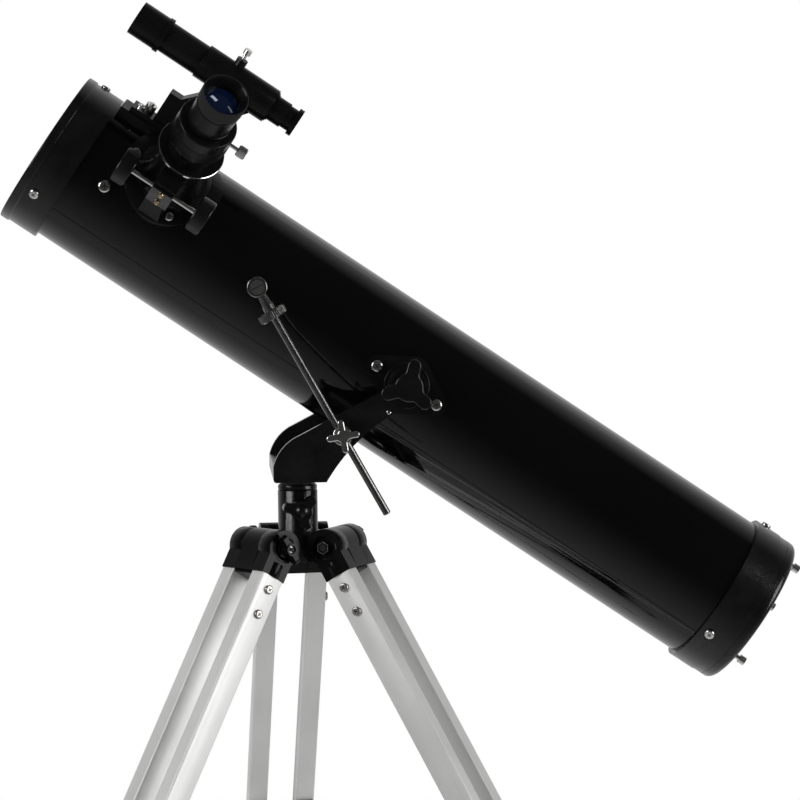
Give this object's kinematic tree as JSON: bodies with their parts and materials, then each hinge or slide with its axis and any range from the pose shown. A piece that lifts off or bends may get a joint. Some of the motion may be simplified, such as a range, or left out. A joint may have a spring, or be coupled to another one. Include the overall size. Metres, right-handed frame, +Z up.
{
  "type": "newtonian reflector telescope on tripod",
  "caption": "Newtonian reflector on a single yoke mount with a fine height rod, rack focuser, finder and folding tripod, for looking at the sky.",
  "frame": {"origin": "on the floor, on the vertical axis that the mount turns about", "axes": "+Z up; +X towards the side that the back of the tube points to; the tube's cross axis runs along Y, with the focuser and height rod on the -Y side"},
  "size_m": [0.8183, 0.7454, 1.1638],
  "materials": {
    "gloss_black": "gloss black enamel",
    "hammered": "fine hammered black paint, semi-gloss",
    "satin_black": "satin black",
    "black_metal": "semi-matte black paint",
    "black_plastic": "moulded, semi-matte",
    "aluminium": "satin anodised, lightly brushed along its length",
    "chrome": "bright nickel plate",
    "grey_plate": "satin mid-grey",
    "rubber": "moulded rubber",
    "mirror": "aluminised front surface",
    "coated_glass": "blue anti-reflection coating"
  },
  "bodies": {
    "hub": {"hub": "hammered"},
    "azimuth_knob": {"azimuth_knob": "black_plastic"},
    "yoke": {"yoke": "hammered"},
    "tube": {"tube_shell": "gloss_black", "front_ring": "hammered", "rear_ring": "hammered", "mirror_cell": "hammered", "primary_mirror": "mirror", "collimation_screws": "chrome", "spider": "satin_black", "secondary_mirror": "mirror", "trunnion_plates": "satin_black", "tube_screws": "chrome", "focuser_base": "satin_black", "pinion_cover": "grey_plate", "finder_bracket": "satin_black", "finder_screws": "chrome", "finder_tube": "satin_black", "finder_lenses": "coated_glass"},
    "altitude_knob_near": {"altitude_knob_near": "black_plastic"},
    "altitude_knob_far": {"altitude_knob_far": "black_plastic"},
    "drawtube": {"drawtube": "satin_black", "eyepiece_holder": "satin_black"},
    "set_screw": {"set_screw": "chrome"},
    "focus_shaft": {"pinion_shaft": "chrome", "focus_knobs": "black_plastic"},
    "eyepiece": {"eyepiece": "satin_black", "eyepiece_lens": "coated_glass"},
    "rod": {"slow_motion_rod": "chrome"},
    "rod_nut": {"rod_nut": "black_plastic"},
    "rod_clamp": {"rod_clamp": "chrome"},
    "star_knob": {"star_knob": "chrome"},
    "tray": {"tray": "black_plastic"},
    "leg_a": {"leg_bracket_a": "black_plastic", "leg_rails_a": "aluminium", "leg_fasteners_a": "chrome", "leg_clamps_a": "black_plastic"},
    "wing_nut_a": {"wing_nut_a": "black_plastic"},
    "lock_knob_a": {"lock_knob_a": "black_plastic"},
    "lower_leg_a": {"lower_leg_a": "aluminium", "foot_a": "rubber"},
    "brace_a": {"brace_a": "black_metal"},
    "leg_b": {"leg_bracket_b": "black_plastic", "leg_rails_b": "aluminium", "leg_fasteners_b": "chrome", "leg_clamps_b": "black_plastic"},
    "wing_nut_b": {"wing_nut_b": "black_plastic"},
    "lock_knob_b": {"lock_knob_b": "black_plastic"},
    "lower_leg_b": {"lower_leg_b": "aluminium", "foot_b": "rubber"},
    "brace_b": {"brace_b": "black_metal"},
    "leg_c": {"leg_bracket_c": "black_plastic", "leg_rails_c": "aluminium", "leg_fasteners_c": "chrome", "leg_clamps_c": "black_plastic"},
    "wing_nut_c": {"wing_nut_c": "black_plastic"},
    "lock_knob_c": {"lock_knob_c": "black_plastic"},
    "lower_leg_c": {"lower_leg_c": "aluminium", "foot_c": "rubber"},
    "brace_c": {"brace_c": "black_metal"}
  },
  "joints": [
    {"name": "leg_fold_a", "type": "hinge", "parent": "hub", "child": "leg_a", "pos_m": [-0.00288, 0.03287, 0.73907], "axis": [-0.9962, -0.0872, 0], "range_deg": [0, 25]},
    {"name": "brace_fold_a", "type": "hinge", "parent": "leg_a", "child": "brace_a", "pos_m": [-0.01314, 0.15014, 0.49542], "axis": [-0.9962, -0.0872, 0], "range_deg": [-50, 0]},
    {"name": "wing_nut_turn_a", "type": "hinge", "parent": "leg_a", "child": "wing_nut_a", "pos_m": [-0.00288, 0.03287, 0.73907], "axis": [-0.9962, -0.0872, 0], "range_deg": [0, 360]},
    {"name": "lock_knob_turn_a", "type": "hinge", "parent": "leg_a", "child": "lock_knob_a", "pos_m": [-0.02817, 0.32196, 0.22824], "axis": [-0.0758, 0.8662, 0.4939], "range_deg": [0, 360]},
    {"name": "leg_slide_a", "type": "slide", "parent": "leg_a", "child": "lower_leg_a", "axis": [-0.0431, 0.4921, -0.8695], "range_m": [-0.21, 0.1]},
    {"name": "leg_fold_b", "type": "hinge", "parent": "hub", "child": "leg_b", "pos_m": [-0.02703, -0.01893, 0.73907], "axis": [0.5736, -0.8192, 0], "range_deg": [0, 25]},
    {"name": "brace_fold_b", "type": "hinge", "parent": "leg_b", "child": "brace_b", "pos_m": [-0.12346, -0.08645, 0.49542], "axis": [0.5736, -0.8192, 0], "range_deg": [-50, 0]},
    {"name": "wing_nut_turn_b", "type": "hinge", "parent": "leg_b", "child": "wing_nut_b", "pos_m": [-0.02703, -0.01893, 0.73907], "axis": [0.5736, -0.8192, 0], "range_deg": [0, 360]},
    {"name": "lock_knob_turn_b", "type": "hinge", "parent": "leg_b", "child": "lock_knob_b", "pos_m": [-0.26474, -0.18538, 0.22824], "axis": [-0.7122, -0.4987, 0.4939], "range_deg": [0, 360]},
    {"name": "leg_slide_b", "type": "slide", "parent": "leg_b", "child": "lower_leg_b", "axis": [-0.4046, -0.2833, -0.8695], "range_m": [-0.21, 0.1]},
    {"name": "leg_fold_c", "type": "hinge", "parent": "hub", "child": "leg_c", "pos_m": [0.02991, -0.01395, 0.73907], "axis": [0.4226, 0.9063, 0], "range_deg": [0, 25]},
    {"name": "brace_fold_c", "type": "hinge", "parent": "leg_c", "child": "brace_c", "pos_m": [0.13659, -0.06369, 0.49542], "axis": [0.4226, 0.9063, 0], "range_deg": [-50, 0]},
    {"name": "wing_nut_turn_c", "type": "hinge", "parent": "leg_c", "child": "wing_nut_c", "pos_m": [0.02991, -0.01395, 0.73907], "axis": [0.4226, 0.9063, 0], "range_deg": [0, 360]},
    {"name": "lock_knob_turn_c", "type": "hinge", "parent": "leg_c", "child": "lock_knob_c", "pos_m": [0.29291, -0.13659, 0.22824], "axis": [0.788, -0.3675, 0.4939], "range_deg": [0, 360]},
    {"name": "leg_slide_c", "type": "slide", "parent": "leg_c", "child": "lower_leg_c", "axis": [0.4477, -0.2087, -0.8695], "range_m": [-0.21, 0.1]},
    {"name": "tray_fold", "type": "hinge", "parent": "brace_a", "child": "tray", "pos_m": [-0.00288, 0.03287, 0.25176], "axis": [-0.9962, -0.0872, 0], "range_deg": [0, 25]},
    {"name": "azimuth", "type": "hinge", "parent": "hub", "child": "yoke", "pos_m": [0, 0, 0.78707], "axis": [0, 0, 1], "continuous": true},
    {"name": "azimuth_knob_turn", "type": "hinge", "parent": "hub", "child": "azimuth_knob", "pos_m": [0, 0, 0.76707], "axis": [0.0872, -0.9962, 0], "range_deg": [0, 360]},
    {"name": "altitude", "type": "hinge", "parent": "yoke", "child": "tube", "pos_m": [0.0836, 0, 0.86607], "axis": [0, 1, 0], "range_deg": [-30, 29]},
    {"name": "altitude_knob_near_turn", "type": "hinge", "parent": "tube", "child": "altitude_knob_near", "pos_m": [0.0836, 0, 0.86607], "axis": [0, -1, 0], "range_deg": [0, 360]},
    {"name": "altitude_knob_far_turn", "type": "hinge", "parent": "tube", "child": "altitude_knob_far", "pos_m": [0.0836, 0, 0.86607], "axis": [0, 1, 0], "range_deg": [0, 360]},
    {"name": "rod_pivot", "type": "hinge", "parent": "tube", "child": "rod", "pos_m": [-0.03081, -0.082, 0.94412], "axis": [0, 1, 0], "range_deg": [-3, 3]},
    {"name": "clamp_slide", "type": "slide", "parent": "rod", "child": "rod_clamp", "axis": [0.4846, 0, -0.8747], "range_m": [-0.0322, 0.0311]},
    {"name": "rod_nut_turn", "type": "hinge", "parent": "rod", "child": "rod_nut", "pos_m": [-0.03081, -0.082, 0.94412], "axis": [0.4846, 0, -0.8747], "range_deg": [0, 360]},
    {"name": "star_knob_turn", "type": "hinge", "parent": "rod_clamp", "child": "star_knob", "pos_m": [0.0327, -0.082, 0.82947], "axis": [0, -1, 0], "range_deg": [0, 360]},
    {"name": "focus", "type": "slide", "parent": "tube", "child": "drawtube", "axis": [0.3391, -0.7986, 0.4972], "range_m": [-0.012, 0.026]},
    {"name": "focus_turn", "type": "hinge", "parent": "tube", "child": "focus_shaft", "pos_m": [-0.10085, -0.07765, 1.01801], "axis": [0.8261, 0, -0.5635], "range_deg": [-90, 190]},
    {"name": "set_screw_turn", "type": "hinge", "parent": "drawtube", "child": "set_screw", "pos_m": [-0.06858, -0.10462, 1.06532], "axis": [0.8261, 0, -0.5635], "range_deg": [0, 360]},
    {"name": "eyepiece_pull", "type": "slide", "parent": "drawtube", "child": "eyepiece", "axis": [0.3391, -0.7986, 0.4972], "range_m": [0, 0.03]}
  ],
  "couplings": [
    {"joint": "brace_fold_a", "follows": "leg_fold_a", "ratio": -2},
    {"joint": "leg_fold_b", "follows": "leg_fold_a", "ratio": 1},
    {"joint": "brace_fold_b", "follows": "leg_fold_a", "ratio": -2},
    {"joint": "leg_fold_c", "follows": "leg_fold_a", "ratio": 1},
    {"joint": "brace_fold_c", "follows": "leg_fold_a", "ratio": -2},
    {"joint": "tray_fold", "follows": "leg_fold_a", "ratio": 1},
    {"joint": "rod_pivot", "follows": "altitude", "ratio": -0.05},
    {"joint": "clamp_slide", "follows": "altitude", "m_per_rad": 0.05956},
    {"joint": "focus_turn", "follows": "focus", "rad_per_m": 125}
  ]
}
